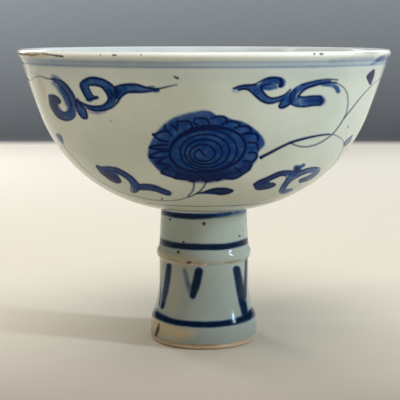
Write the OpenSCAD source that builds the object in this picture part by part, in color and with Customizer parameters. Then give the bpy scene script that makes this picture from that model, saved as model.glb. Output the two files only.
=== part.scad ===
// Porcelain stem cup: a deep bowl with a turned-out lip, luted onto a hollow stem
// with a raised ring and a spreading foot. Millimetres, +Z up, foot on z = 0.

/* [Bowl] */
// Widest diameter, over the glazed lip
rim_diameter = 150; // [136:1:170]
// Height from the lowest glazed point of the bowl to the top of the lip
bowl_depth = 65; // [58:1:74]
// Wall thickness at the lip and in the upper wall, both glaze coats included
wall_thickness = 3; // [2.4:0.1:4]
// Thickness of the bowl at its centre, both glaze coats included
base_thickness = 6.5; // [5:0.1:9]
// Radius of the round belly
belly_radius = 60; // [54:1:64]
// Radius of the nearly straight upper wall
wall_radius = 480; // [320:10:720]
// Lean of the wall where the belly ends and the upper wall begins, in degrees from upright
shoulder_lean = 20.4; // [18:0.2:23]
// How far the lip stands out from the line of the wall
lip_turnout = 0.35; // [0.2:0.05:0.8]
// Radius of the hollow sweep under the lip
lip_sweep = 22; // [14:1:32]

/* [Stem] */
// Height from the table to the lowest glazed point of the bowl
stem_height = 55; // [46:1:80]
// Diameter of the stem under the bowl
upper_diameter = 35.6; // [32:0.2:38]
// How far the stem leans out from there down to the ring, in degrees from upright
upper_taper = 3; // [0:0.5:5]
// Diameter of the stem below the ring
lower_diameter = 37; // [33:0.5:40]
// Bore of the hollow stem
bore_diameter = 25; // [20:0.5:27]

/* [Ring] */
// Height of the ring's crest as a share of the stem height
ring_place = 0.667; // [0.58:0.005:0.72]
// Diameter over the ring's crest
ring_diameter = 39.2; // [38.4:0.1:42]
// Radius of the ring's round edge
ring_round = 3.5; // [2.5:0.1:4.5]
// Radius of the soft hollow above the ring
ring_upper_cove = 6; // [3:0.5:8]
// Radius of the tight hollow below the ring
ring_lower_cove = 1.6; // [1:0.1:3]

/* [Foot] */
// Diameter of the glazed foot
foot_diameter = 44.6; // [42:0.2:50]
// Radius of the hollow curve where the stem spreads into the foot
foot_sweep = 38; // [26:1:46]
// Radius of the round curve that brings the foot upright again
foot_round = 16; // [10:1:20]
// Height of the upright band at the bottom of the foot
foot_band = 5.5; // [4:0.5:7]
// Bore at the open underside of the foot
mouth_diameter = 35; // [30:0.5:37]
// Bevel on both edges of the foot ring
foot_bevel = 0.8; // [0.4:0.1:1.2]
// Height at which the glaze stops above the bare foot ring
glaze_stop = 2.4; // [1.6:0.1:3.4]

/* [Coats and luting] */
// Thickness of a glaze coat
glaze = 0.4; // [0.3:0.05:0.6]
// Thickness of the slip between stem and bowl
slip = 0.6; // [0.4:0.1:1.2]
// Radius of the slip fillet round the joint
slip_fillet = 1.6; // [1:0.1:2.5]
// Depth of the centring boss under the bowl
boss_depth = 2; // [1.2:0.1:3]
// Gap round the boss that the slip fills
boss_gap = 0.7; // [0.4:0.1:1.2]

/* [Hidden] */
$fn = 128;
porcelain = [0.90, 0.88, 0.83];
biscuit = [0.84, 0.79, 0.70];
slip_white = [0.87, 0.87, 0.83];
outer_glaze_tint = [0.74, 0.79, 0.78];
inner_glaze_tint = [0.80, 0.84, 0.83];

// Points of a section are [radius, height]; headings are degrees from straight out
function along(start, heading, distance) = start + distance * [cos(heading), sin(heading)];
function heading(start, finish) = atan2(finish[1] - start[1], finish[0] - start[0]);
function leg(hypotenuse, side) = sqrt(hypotenuse * hypotenuse - side * side);

// Arcs overlap by this much where one runs into the next, so that they join in one outline
overlap = 0.01;
// Cutting shapes run this far past the face they cut
margin = 1;
far = 2 * wall_radius;

// Belly and upper wall are two arcs that run into each other on one shared radius line
rim_radius = rim_diameter / 2;
cup_height = stem_height + bowl_depth;
lip_radius = wall_thickness / 2 + overlap;
lip_centre = [rim_radius - lip_radius, cup_height - lip_radius];
belly_height = stem_height + belly_radius;
arc_spacing = wall_radius - belly_radius + overlap;
wall_centre_height = belly_height + arc_spacing * sin(shoulder_lean);
wall_centre_radius = rim_radius - lip_turnout - leg(wall_radius, lip_centre[1] - wall_centre_height);
wall_centre = [wall_centre_radius, wall_centre_height];
belly_centre = along(wall_centre, -shoulder_lean, arc_spacing);

// Inside belly: same radius line, rounder, so that the base is thicker than the wall
floor_height = stem_height + base_thickness;
inner_wall_radius = wall_radius - wall_thickness;
inner_drop = wall_centre_height - (inner_wall_radius + overlap) * sin(shoulder_lean) - floor_height + overlap;
inner_belly_radius = inner_drop / (1 - sin(shoulder_lean));
inner_spacing = inner_wall_radius - inner_belly_radius + overlap;
inner_belly_centre = along(wall_centre, -shoulder_lean, inner_spacing);

// The sweep under the lip touches both the upper wall and the round of the lip
wall_reach = wall_radius + lip_sweep - overlap;
lip_reach = wall_thickness / 2 + lip_sweep;
lip_span = norm(lip_centre - wall_centre);
sweep_cosine = (wall_reach * wall_reach + lip_span * lip_span - lip_reach * lip_reach)
    / (2 * wall_reach * lip_span);
sweep_heading = heading(wall_centre, lip_centre) - acos(sweep_cosine);
sweep_centre = along(wall_centre, sweep_heading, wall_reach);
sweep_to_lip = heading(sweep_centre, lip_centre);
sweep_to_wall = heading(sweep_centre, wall_centre);
sweep_spare = 10;

// Joint between bowl and stem
upper_radius = upper_diameter / 2;
bore_radius = bore_diameter / 2;
seat_radius = upper_radius - glaze;
stem_top = stem_height - slip;
boss_radius = bore_radius - boss_gap;
boss_bottom = stem_height - boss_depth;
fillet_radius = upper_radius + slip_fillet;
fillet_height = belly_height - leg(belly_radius + slip_fillet, fillet_radius - belly_centre[0]);
fillet_centre = [fillet_radius, fillet_height];
fillet_heading = heading(belly_centre, fillet_centre);

// Upper stem: upright at the joint, then leaning out, with the directions across and up its surface
upper_start = [upper_radius, min(fillet_height, stem_top) - slip];
across_upper = [cos(upper_taper), sin(upper_taper)];
up_upper = [-sin(upper_taper), cos(upper_taper)];

// Ring on the stem; the hollow above it touches both the ring and the leaning upper stem
lower_radius = lower_diameter / 2;
ring_centre = [ring_diameter / 2 - ring_round, ring_place * stem_height];
upper_cove_reach = ring_upper_cove + ring_round - overlap;
upper_cove_offset = (upper_start - ring_centre) * across_upper + ring_upper_cove - overlap;
upper_cove_rise = leg(upper_cove_reach, upper_cove_offset);
upper_cove_centre = ring_centre + upper_cove_offset * across_upper + upper_cove_rise * up_upper;
lower_cove_radius = lower_radius + ring_lower_cove - overlap;
lower_cove_reach = ring_lower_cove + ring_round - overlap;
lower_cove_drop = leg(lower_cove_reach, lower_cove_radius - ring_centre[0]);
lower_cove_centre = [lower_cove_radius, ring_centre[1] - lower_cove_drop];

// The foot spreads in a hollow curve and turns upright again in a round one
foot_radius = foot_diameter / 2;
foot_round_centre = [foot_radius - foot_round + overlap, foot_band];
foot_sweep_radius = lower_radius + foot_sweep - overlap;
foot_sweep_reach = foot_sweep + foot_round - overlap;
foot_sweep_rise = leg(foot_sweep_reach, foot_sweep_radius - foot_round_centre[0]);
foot_sweep_centre = [foot_sweep_radius, foot_band + foot_sweep_rise];
bare_foot_radius = foot_radius - glaze;
mouth_radius = mouth_diameter / 2;

// A disc of a section
module disc(centre, radius) {
    translate(centre) circle(r = radius);
}

// All of a section from the axis out and up to a height
module below(height) {
    translate([0, height - far]) square([far, far]);
}

// The lower part of a belly's disc, up to its centre or to the top of the bowl
module belly_disc(centre, radius, top) {
    intersection() {
        disc(centre, radius);
        below(min(centre[1], top));
    }
}

// The upper wall from the shoulder to the top of the bowl, from over the belly's centre out
module wall_disc(belly, radius, top) {
    intersection() {
        disc(wall_centre, radius);
        polygon([belly, along(wall_centre, -shoulder_lean, far), [far, far], [belly[0], far]]);
        below(top);
    }
}

// Everything inside the bowl's glazed outer surface by a depth
module outer_fill(depth) {
    difference() {
        union() {
            belly_disc(belly_centre, belly_radius - depth, lip_centre[1]);
            wall_disc(belly_centre, wall_radius - depth, lip_centre[1]);
            polygon([sweep_centre, lip_centre, along(sweep_centre, sweep_to_wall, lip_sweep + wall_thickness)]);
        }
        disc(sweep_centre, lip_sweep + depth);
    }
    disc(lip_centre, lip_radius - depth);
}

// The part of the wall's inner sweep that the hollow of the bowl leaves standing
module inner_sweep(depth) {
    intersection() {
        disc(sweep_centre, lip_sweep + wall_thickness - depth);
        polygon([sweep_centre, along(sweep_centre, sweep_to_lip, far),
            along(sweep_centre, sweep_to_wall + sweep_spare, far)]);
    }
}

// The hollow of the bowl, widened past its glazed surface by a depth
module hollow_fill(depth) {
    top = cup_height + margin;
    difference() {
        union() {
            intersection() {
                belly_disc(inner_belly_centre, inner_belly_radius + depth, top);
                translate([0, floor_height - depth]) square([far, far]);
            }
            translate([0, floor_height - depth]) square([inner_belly_centre[0], top - floor_height + depth]);
            wall_disc(inner_belly_centre, inner_wall_radius + depth, top);
            polygon([along(sweep_centre, sweep_to_wall, lip_reach), lip_centre, [lip_centre[0], top],
                [inner_belly_centre[0], top], inner_belly_centre]);
        }
        inner_sweep(depth);
        disc(lip_centre, lip_radius - depth);
    }
}

// The thrown bowl: lip, wall, belly, flat seat and centring boss
module bowl() {
    color(porcelain) rotate_extrude() {
        difference() {
            outer_fill(glaze);
            hollow_fill(glaze);
        }
        translate([0, stem_height]) square([seat_radius, base_thickness - 2 * glaze]);
        translate([0, boss_bottom]) square([boss_radius, base_thickness / 2 + boss_depth]);
    }
}

// The coat poured into the bowl, up to the top of the lip
module bowl_inner_glaze() {
    color(inner_glaze_tint) rotate_extrude() difference() {
        hollow_fill(glaze);
        hollow_fill(0);
    }
}

// The outside coat, from the top of the lip down to the slip fillet
module bowl_outer_glaze() {
    fillet_end = along(belly_centre, fillet_heading, far);
    color(outer_glaze_tint) rotate_extrude() intersection() {
        difference() {
            outer_fill(0);
            outer_fill(glaze);
        }
        polygon([belly_centre, fillet_end, [far, fillet_end[1]], [far, far], [belly_centre[0], far]]);
        union() {
            below(lip_centre[1]);
            translate(lip_centre - [0, overlap]) square(wall_thickness);
        }
    }
}

// The slip that bonds stem and bowl: a bed, a skirt round the boss and a fillet outside
module luting_slip() {
    body_belly = belly_radius - glaze;
    under_belly = body_belly - glaze;
    fillet_bottom = [seat_radius, min(fillet_height, stem_top)];
    fillet_top = [seat_radius, belly_height - leg(under_belly, seat_radius - belly_centre[0])];
    color(slip_white) rotate_extrude() {
        translate([boss_radius, stem_top]) square([seat_radius + glaze / 2 - boss_radius, slip]);
        translate([boss_radius, boss_bottom]) square([boss_gap, boss_depth]);
        difference() {
            polygon([fillet_bottom, fillet_centre, along(belly_centre, fillet_heading, under_belly), fillet_top]);
            disc(fillet_centre, slip_fillet);
            disc(belly_centre, body_belly);
        }
    }
}

// The section from the axis out to the line between two points, the lower point first
module band_between(low, high) {
    polygon([[0, low[1]], low, high, [0, high[1]]]);
}

// The foot, inside its glazed surface by a depth
module foot_fill(depth) {
    difference() {
        band_between(foot_round_centre, foot_sweep_centre);
        disc(foot_sweep_centre, foot_sweep + depth);
    }
    intersection() {
        disc(foot_round_centre, foot_round - depth);
        square([foot_radius - depth, foot_sweep_centre[1]]);
    }
    square([foot_radius - depth, foot_band]);
}

// The ring and the hollow curves above and below it, inside their glazed surface by a depth
module ring_fill(depth) {
    disc(ring_centre, ring_round - depth);
    difference() {
        band_between(lower_cove_centre, ring_centre);
        disc(lower_cove_centre, ring_lower_cove + depth);
    }
    difference() {
        band_between(ring_centre, upper_cove_centre);
        disc(upper_cove_centre, ring_upper_cove + depth);
    }
}

// The stem between the ring and the joint, inside its glazed surface by a depth
module upper_fill(depth) {
    skin_top = upper_start - depth * across_upper;
    band_between(skin_top - (upper_start[1] - ring_centre[1]) * up_upper, skin_top);
    translate([0, upper_start[1] - slip]) square([upper_radius - depth, stem_top - upper_start[1] + slip]);
}

// The whole stem, inside its glazed surface by a depth
module stem_fill(depth) {
    square([min(upper_radius, lower_radius) - depth, stem_top]);
    square([lower_radius - depth, ring_centre[1]]);
    upper_fill(depth);
    ring_fill(depth);
    foot_fill(depth);
}

// The bore, straight in the stem and opening inside the foot, bevelled at its mouth
module bore() {
    polygon([[0, -margin], [mouth_radius + foot_bevel + margin, -margin], [mouth_radius, foot_bevel],
        [mouth_radius, foot_band], [bore_radius, foot_sweep_centre[1]], [bore_radius, stem_top + margin],
        [0, stem_top + margin]]);
}

// The corner that the bevel takes off the outside of the foot ring
module outer_bevel() {
    polygon([[bare_foot_radius - foot_bevel - margin, -margin], [bare_foot_radius + margin, -margin],
        [bare_foot_radius + margin, foot_bevel + margin]]);
}

// The thrown and turned stem with its ring, foot and bare foot ring
module stem() {
    color(biscuit) rotate_extrude() difference() {
        stem_fill(glaze);
        bore();
        outer_bevel();
    }
}

// The coat on the stem, from the slip fillet down to the bare foot ring
module stem_glaze() {
    color(outer_glaze_tint) rotate_extrude() intersection() {
        difference() {
            stem_fill(0);
            stem_fill(glaze);
        }
        translate([0, glaze_stop]) square([far, fillet_height - glaze_stop]);
    }
}

bowl();
bowl_inner_glaze();
bowl_outer_glaze();
luting_slip();
stem();
stem_glaze();
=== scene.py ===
import math

import bpy
import numpy as np
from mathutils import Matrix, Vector


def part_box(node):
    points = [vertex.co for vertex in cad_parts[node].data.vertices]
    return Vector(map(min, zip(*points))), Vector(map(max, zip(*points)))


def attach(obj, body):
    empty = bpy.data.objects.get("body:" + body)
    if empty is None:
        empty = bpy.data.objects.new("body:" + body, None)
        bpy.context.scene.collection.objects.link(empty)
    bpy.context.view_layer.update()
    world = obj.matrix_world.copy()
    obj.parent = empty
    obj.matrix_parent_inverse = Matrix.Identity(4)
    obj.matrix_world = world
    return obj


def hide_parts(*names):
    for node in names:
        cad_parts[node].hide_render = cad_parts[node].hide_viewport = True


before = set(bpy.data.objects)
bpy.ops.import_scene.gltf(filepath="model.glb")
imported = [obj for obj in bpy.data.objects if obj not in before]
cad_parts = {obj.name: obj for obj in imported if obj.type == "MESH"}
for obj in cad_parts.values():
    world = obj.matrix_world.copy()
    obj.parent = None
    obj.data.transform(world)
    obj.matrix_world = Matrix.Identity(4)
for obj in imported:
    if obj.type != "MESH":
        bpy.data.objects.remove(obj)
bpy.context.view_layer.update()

MM = 0.001

# Sizes of the cup, as in the part's source
RIM_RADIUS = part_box("bowl_outer_glaze")[1].x / MM
CUP_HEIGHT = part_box("bowl_outer_glaze")[1].z / MM
WALL_THICKNESS = 3.0
BELLY_RADIUS = 60.0
WALL_RADIUS = 480.0
SHOULDER_LEAN = 20.4
LIP_TURNOUT = 0.35
LIP_SWEEP = 22.0
STEM_HEIGHT = 55.0
UPPER_RADIUS = 17.8
UPPER_TAPER = 3.0
LOWER_RADIUS = 18.5
RING_CREST = 0.667 * STEM_HEIGHT
RING_RADIUS = 19.6
RING_ROUND = 3.5
RING_UPPER_COVE = 6.0
RING_LOWER_COVE = 1.6
FOOT_RADIUS = 22.3
FOOT_SWEEP = 38.0
FOOT_ROUND = 16.0
FOOT_BAND = 5.5
GLAZE_STOP = 2.4
GLAZE = 0.4
SLIP = 0.6
SLIP_FILLET = 1.6

# How finely the skins are divided
ROW_SPACING = 0.36
LIP_ROW_SPACING = 0.12
BOWL_COLUMNS = 1152
STEM_COLUMNS = 384
BACK_STEP = 6
SEAM_TURN = 45
SHARP_ANGLE = 50

# The camera that took the photograph, found from the rim, the ring and the foot
PHOTO_PIXELS = 400
FOCAL_PIXELS = 1150.0
SENSOR_WIDTH = 36.0
CAMERA_PLACE = np.array([-1.58, -471.0, 127.0])
CAMERA_PITCH = 8.35

# Brush edges, in photograph pixels
LINE_EDGE = 1.1
WASH_EDGE = 2.2

# How squarely a surface faces the view where pigment starts to fade, and where lines start to thin
FADE_BELOW = 0.18
THIN_BELOW = 0.6
THINNEST = 0.35

# The share of a stroke over which the brush is at its full width
FULL_FROM = 0.4
FULL_TO = 0.6

# Cobalt bled out beside a dark line or a fork's dark heart, and the shape of a speck
BLEED_WIDTH = 0.6
BLEED_STRENGTH = 0.4
FORK_BLEED_WIDTH = 1.6
FORK_HEART_STRENGTH = 0.75
FORK_HEART_EDGE = 2.0
SPECK_HALF_LENGTH = 0.1
SPECK_EDGE = 0.45

# Turns of the cup at which its drawings are repeated, in degrees
FRONT_AND_BACK = (0, 180)
FLOWER_TURNS = (0, 94, 180, 266)
SIDE_TURNS = (90, 270)
FORK_TURN = 60

# Heights of the lines brushed right round the cup
BORDER_TOP_LINE = 116.35
BORDER_MIDDLE = 115.6
BORDER_LOW_LINE = 114.75
# Painted shade band under the rim border
BORDER_PAINTED_SHADE = 112.0
OVER_STEM_LINE = 60.6
JOINT_BAND = 53.75
OVER_RING_BAND = 41.45
ON_FOOT_BAND = 10.6


# Sections of the cup

def along(start, direction, distance):
    """The point at a distance from start, in a direction in degrees from straight out."""
    turn = math.radians(direction)
    return np.array([start[0] + distance * math.cos(turn), start[1] + distance * math.sin(turn)])


def heading(start, finish):
    """The direction from one section point to another, in degrees from straight out."""
    return math.degrees(math.atan2(finish[1] - start[1], finish[0] - start[0]))


def leg(hypotenuse, side):
    """The other short side of a right triangle."""
    return math.sqrt(hypotenuse * hypotenuse - side * side)


def arc(centre, radius, start, finish, spacing):
    """Section points round a centre, from one direction to another."""
    steps = max(2, math.ceil(radius * math.radians(abs(finish - start)) / spacing))
    return [along(centre, turn, radius) for turn in np.linspace(start, finish, steps + 1)]


def straight(start, finish, spacing):
    """Section points on a line."""
    start, finish = np.array(start), np.array(finish)
    steps = max(1, math.ceil(np.linalg.norm(finish - start) / spacing))
    return [start + (finish - start) * share for share in np.linspace(0, 1, steps + 1)]


def chain(*runs):
    """Runs of section points joined end to end, each shared point kept once."""
    points = list(runs[0])
    for run in runs[1:]:
        points.extend(run[1:])
    return np.array(points)


lip_radius = WALL_THICKNESS / 2
lip_centre = np.array([RIM_RADIUS - lip_radius, CUP_HEIGHT - lip_radius])
belly_height = STEM_HEIGHT + BELLY_RADIUS
lean_sine = math.sin(math.radians(SHOULDER_LEAN))
wall_height = belly_height + (WALL_RADIUS - BELLY_RADIUS) * lean_sine
wall_reach = leg(WALL_RADIUS, lip_centre[1] - wall_height)
wall_centre = np.array([RIM_RADIUS - LIP_TURNOUT - wall_reach, wall_height])
belly_centre = along(wall_centre, -SHOULDER_LEAN, WALL_RADIUS - BELLY_RADIUS)
fillet_radius = UPPER_RADIUS + SLIP_FILLET
fillet_drop = leg(BELLY_RADIUS + SLIP_FILLET, fillet_radius - belly_centre[0])
fillet_centre = np.array([fillet_radius, belly_height - fillet_drop])


def sweep_centre():
    """Centre of the hollow sweep that touches both the upper wall and the round of the lip."""
    to_wall = WALL_RADIUS + LIP_SWEEP
    to_lip = lip_radius + LIP_SWEEP
    span = np.linalg.norm(lip_centre - wall_centre)
    cosine = (to_wall ** 2 + span ** 2 - to_lip ** 2) / (2 * to_wall * span)
    turn = heading(wall_centre, lip_centre) - math.degrees(math.acos(cosine))
    return along(wall_centre, turn, to_wall)


def bowl_skin():
    """The glazed outside of the bowl, from the top of the lip down to the slip fillet."""
    sweep = sweep_centre()
    return chain(
        arc(lip_centre, lip_radius, 90, heading(lip_centre, sweep), LIP_ROW_SPACING),
        arc(sweep, LIP_SWEEP, heading(sweep, lip_centre), heading(sweep, wall_centre), ROW_SPACING),
        arc(wall_centre, WALL_RADIUS, heading(wall_centre, sweep), -SHOULDER_LEAN, ROW_SPACING),
        arc(belly_centre, BELLY_RADIUS, -SHOULDER_LEAN, heading(belly_centre, fillet_centre), ROW_SPACING),
    )


def fillet_skin():
    """The slip fillet between bowl and stem."""
    start = heading(fillet_centre, belly_centre)
    return chain(arc(fillet_centre, SLIP_FILLET, start, 180, LIP_ROW_SPACING))


def stem_skin():
    """The glazed outside of the stem, from the slip fillet down to the bare foot ring."""
    ring = np.array([RING_RADIUS - RING_ROUND, RING_CREST])
    joint = np.array([UPPER_RADIUS, fillet_centre[1]])
    start = np.array([UPPER_RADIUS, min(fillet_centre[1], STEM_HEIGHT - SLIP) - SLIP])
    across = along((0, 0), UPPER_TAPER, 1)
    offset = (start - ring) @ across + RING_UPPER_COVE
    rise = leg(RING_UPPER_COVE + RING_ROUND, offset)
    upper = along(along(ring, UPPER_TAPER, offset), UPPER_TAPER + 90, rise)
    lower_radius = LOWER_RADIUS + RING_LOWER_COVE
    lower = np.array([lower_radius, ring[1] - leg(RING_LOWER_COVE + RING_ROUND, lower_radius - ring[0])])
    foot = np.array([FOOT_RADIUS - FOOT_ROUND, FOOT_BAND])
    sweep_radius = LOWER_RADIUS + FOOT_SWEEP
    sweep = np.array([sweep_radius, FOOT_BAND + leg(FOOT_SWEEP + FOOT_ROUND, sweep_radius - foot[0])])
    return chain(
        straight(joint, start, ROW_SPACING),
        straight(start, along(upper, UPPER_TAPER + 180, RING_UPPER_COVE), ROW_SPACING),
        arc(upper, RING_UPPER_COVE, UPPER_TAPER + 180, heading(upper, ring) + 360, ROW_SPACING),
        arc(ring, RING_ROUND, heading(ring, upper), heading(ring, lower), ROW_SPACING),
        arc(lower, RING_LOWER_COVE, heading(lower, ring), 180, LIP_ROW_SPACING),
        straight([LOWER_RADIUS, lower[1]], [LOWER_RADIUS, sweep[1]], ROW_SPACING),
        arc(sweep, FOOT_SWEEP, 180, heading(sweep, foot) + 360, ROW_SPACING),
        arc(foot, FOOT_ROUND, heading(foot, sweep), 0, ROW_SPACING),
        straight([FOOT_RADIUS, FOOT_BAND], [FOOT_RADIUS, GLAZE_STOP], ROW_SPACING),
    )


def section_normals(skin):
    """Outward directions along a skin that runs downwards."""
    slope = np.gradient(skin, axis=0)
    normals = np.stack([-slope[:, 1], slope[:, 0]], axis=1)
    return normals / np.linalg.norm(normals, axis=1, keepdims=True)


def section_back(skin):
    """The underside of a coat, from the bottom of its skin back to the top."""
    rows = np.linspace(len(skin) - 1, 0, len(skin) // BACK_STEP).round().astype(int)
    return skin[rows] - GLAZE * section_normals(skin)[rows]


# Meshes

def turned_points(section, columns):
    """Points of a section turned round the axis, row by row, in millimetres."""
    angles = np.radians(SEAM_TURN + np.arange(columns) * 360.0 / columns)
    radius = section[:, :1]
    height = np.broadcast_to(section[:, 1:], (len(section), columns))
    return np.stack([radius * np.cos(angles), radius * np.sin(angles), height], axis=2)


def quad_rows(rows, columns):
    """Row and column of each corner of the faces of a closed turned section."""
    row, column = np.meshgrid(np.arange(rows), np.arange(columns), indexing="ij")
    corner_rows = np.stack([row, row + 1, row + 1, row], axis=2).reshape(-1, 4)
    corner_columns = np.stack([column, column, column + 1, column + 1], axis=2).reshape(-1, 4)
    return corner_rows, corner_columns


def quarter_map(corner_rows, corner_columns, skin_rows, rows, columns):
    """Texture places: the skin's four quarter turns fill a square two by two, the back a strip below."""
    strip = 0.05
    strip_fill = 0.9
    inset = 0.01
    quarter = columns // 4
    tile = corner_columns[:, :1] // quarter
    across = (corner_columns - tile * quarter) / quarter
    down = corner_rows / (skin_rows - 1)
    skin_u = (tile % 2 + inset + across * (1 - 2 * inset)) / 2
    skin_v = strip + (1 - strip) * (tile // 2 + inset + (1 - down) * (1 - 2 * inset)) / 2
    back_u = corner_columns / columns
    back_v = strip * strip_fill * (corner_rows - skin_rows + 1) / (rows - skin_rows + 1)
    on_skin = corner_rows[:, :1] < skin_rows - 1
    return np.stack([np.where(on_skin, skin_u, back_u), np.where(on_skin, skin_v, back_v)], axis=2)


def add_object(name, data):
    """A new object of the scene."""
    thing = bpy.data.objects.new(name, data)
    bpy.context.scene.collection.objects.link(thing)
    return thing


def coat(name, skin, columns, node, material):
    """A glaze coat: a dense painted skin with a plain back, standing for a node of the frame."""
    section = np.concatenate([skin, section_back(skin)])
    rows = len(section)
    points = turned_points(section, columns)
    corner_rows, corner_columns = quad_rows(rows, columns)
    faces = (corner_rows % rows) * columns + corner_columns % columns
    mesh = bpy.data.meshes.new(name)
    mesh.from_pydata((points.reshape(-1, 3) * MM).tolist(), [], faces.tolist())
    texture = mesh.uv_layers.new(name="OFBake")
    places = quarter_map(corner_rows, corner_columns, len(skin), rows, columns)
    texture.data.foreach_set("uv", places.reshape(-1).astype(np.float32))
    mesh.shade_smooth()
    mesh.set_sharp_from_angle(angle=math.radians(SHARP_ANGLE))
    piece = add_object(name, mesh)
    mesh.materials.append(material)
    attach(piece, "root")
    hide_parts(node)
    return piece


def store(piece, paint):
    """Writes painted layers to a piece; the points of its back stay bare."""
    for layer, values in paint.items():
        full = np.zeros(len(piece.data.vertices), np.float32)
        full[: len(values)] = values
        piece.data.attributes.new(layer, "FLOAT", "POINT").data.foreach_set("value", full)


# Painting: a stroke is its points, width, share of it at start and end, strength and edge

def smooth_path(points, closed=False, per_span=8):
    """A smooth line through points, as a brush would draw it."""
    points = np.array(points, float)
    if closed:
        padded = np.concatenate([points[-1:], points, points[:2]])
    else:
        padded = np.concatenate([2 * points[:1] - points[1:2], points, 2 * points[-1:] - points[-2:-1]])
    share = np.linspace(0, 1, per_span, endpoint=False)[:, None]
    runs = []
    for before, start, finish, after in zip(padded, padded[1:], padded[2:], padded[3:]):
        bend = 2 * before - 5 * start + 4 * finish - after
        twist = 3 * (start - finish) + after - before
        runs.append(start + 0.5 * share * (finish - before + share * (bend + share * twist)))
    runs.append(points[:1] if closed else points[-1:])
    return np.concatenate(runs)


def to_segments(places, path):
    """Distance from each place to each piece of a path, and how far along the piece it falls."""
    start, step = path[:-1], np.diff(path, axis=0)
    square = np.maximum((step ** 2).sum(1), 1e-9)
    offset = places[:, None] - start[None]
    share = np.clip((offset * step).sum(2) / square, 0, 1)
    distance = np.linalg.norm(offset - share[..., None] * step, axis=2)
    return distance, share


def is_inside(places, path):
    """Whether places lie inside a closed path."""
    (x0, y0), (x1, y1) = path[:-1].T, path[1:].T
    x, y = places[:, :1], places[:, 1:]
    crosses = (y0 > y) != (y1 > y)
    slope = (x1 - x0) / np.where(y1 == y0, 1e-9, y1 - y0)
    return (crosses & (x < x0 + (y - y0) * slope)).sum(1) % 2 == 1


class Canvas:
    """The side of a skin that faces the photograph's camera, once the cup has been turned."""

    def __init__(self, paint, points, normals, turn=0):
        spin = math.radians(-turn)
        cosine, sine = math.cos(spin), math.sin(spin)
        rotation = np.array([[cosine, -sine, 0], [sine, cosine, 0], [0, 0, 1]])
        to_points = points @ rotation.T - CAMERA_PLACE
        facing = -((normals @ rotation.T) * to_points).sum(1) / np.linalg.norm(to_points, axis=1)
        pitch = math.radians(CAMERA_PITCH)
        self.seen = np.flatnonzero(facing > 0)
        self.facing = facing[self.seen]
        view = to_points[self.seen]
        depth = view[:, 1] * math.cos(pitch) - view[:, 2] * math.sin(pitch)
        rise = view[:, 1] * math.sin(pitch) + view[:, 2] * math.cos(pitch)
        middle = PHOTO_PIXELS / 2
        self.places = middle + FOCAL_PIXELS * np.stack([view[:, 0], -rise], axis=1) / depth[:, None]
        self.paint = paint

    def near(self, path, reach):
        """Rows of the places within reach of a path's box."""
        low, high = path.min(0) - reach, path.max(0) + reach
        return np.flatnonzero(np.all((self.places > low) & (self.places < high), axis=1))

    def lay(self, layer, rows, density):
        """Adds pigment over what is already there, fading where the surface turns away."""
        points = self.seen[rows]
        density = density * np.clip(self.facing[rows] / FADE_BELOW, 0, 1)
        self.paint[layer][points] = 1 - (1 - self.paint[layer][points]) * (1 - density)

    def lift(self, layer, points, width, strength, edge):
        """Thins the pigment along a stroke."""
        path = smooth_path(points)
        rows = self.near(path, width / 2 + edge)
        if len(rows):
            distance = to_segments(self.places[rows], path)[0].min(1)
            density = np.clip((width / 2 - distance) / edge + 0.5, 0, 1)
            self.paint[layer][self.seen[rows]] *= 1 - density * strength

    def brush(self, layer, points, width, start=1.0, end=1.0, strength=1.0, edge=LINE_EDGE,
              closed=False, thin=False):
        """A stroke of a width in pixels, thinned to a share of it at its start and end."""
        path = smooth_path(points, closed)
        run = np.concatenate([[0], np.cumsum(np.linalg.norm(np.diff(path, axis=0), axis=1))])
        half = width / 2 * np.interp(run / run[-1], [0, FULL_FROM, FULL_TO, 1], [start, 1, 1, end])
        rows = self.near(path, half.max() + edge)
        if len(rows):
            distance, share = to_segments(self.places[rows], path)
            reach = half[:-1] + share * np.diff(half)
            if thin:
                distance = distance / np.clip(self.facing[rows] / THIN_BELOW, THINNEST, 1)[:, None]
            density = np.clip((reach - distance) / edge + 0.5, 0, 1).max(1)
            self.lay(layer, rows, density * strength)

    def line(self, points, width=1.9, start=0.6, end=0.6, strength=0.95):
        """A dark outline, with a little cobalt bled out on both sides."""
        bled = BLEED_STRENGTH * strength
        self.brush("wash", points, width + BLEED_WIDTH, start, end, bled, WASH_EDGE, thin=True)
        self.brush("line", points, width, start, end, strength, thin=True)

    def fill(self, layer, outline, strength, edge=WASH_EDGE):
        """An area of pigment inside a closed outline."""
        path = smooth_path(outline, closed=True)
        rows = self.near(path, edge)
        if len(rows):
            places = self.places[rows]
            distance = to_segments(places, path)[0].min(1)
            inward = np.where(is_inside(places, path), distance, -distance)
            self.lay(layer, rows, np.clip(inward / edge + 0.5, 0, 1) * strength)

    def spots(self, layer, spots, strength):
        """Round specks, each given as x, y and width."""
        for x, y, width in spots:
            ends = [(x - SPECK_HALF_LENGTH, y), (x + SPECK_HALF_LENGTH, y)]
            self.brush(layer, ends, width, strength=strength, edge=width * SPECK_EDGE)


def ellipse(centre, wide, high, lean, start=0, finish=360, steps=36):
    """Points round an ellipse whose top leans to the right."""
    turns = np.radians(np.linspace(start, finish, steps, endpoint=finish - start < 360))
    drop = high * np.sin(turns)
    return np.stack([centre[0] + wide * np.cos(turns) - lean * drop, centre[1] + drop], axis=1)


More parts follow.
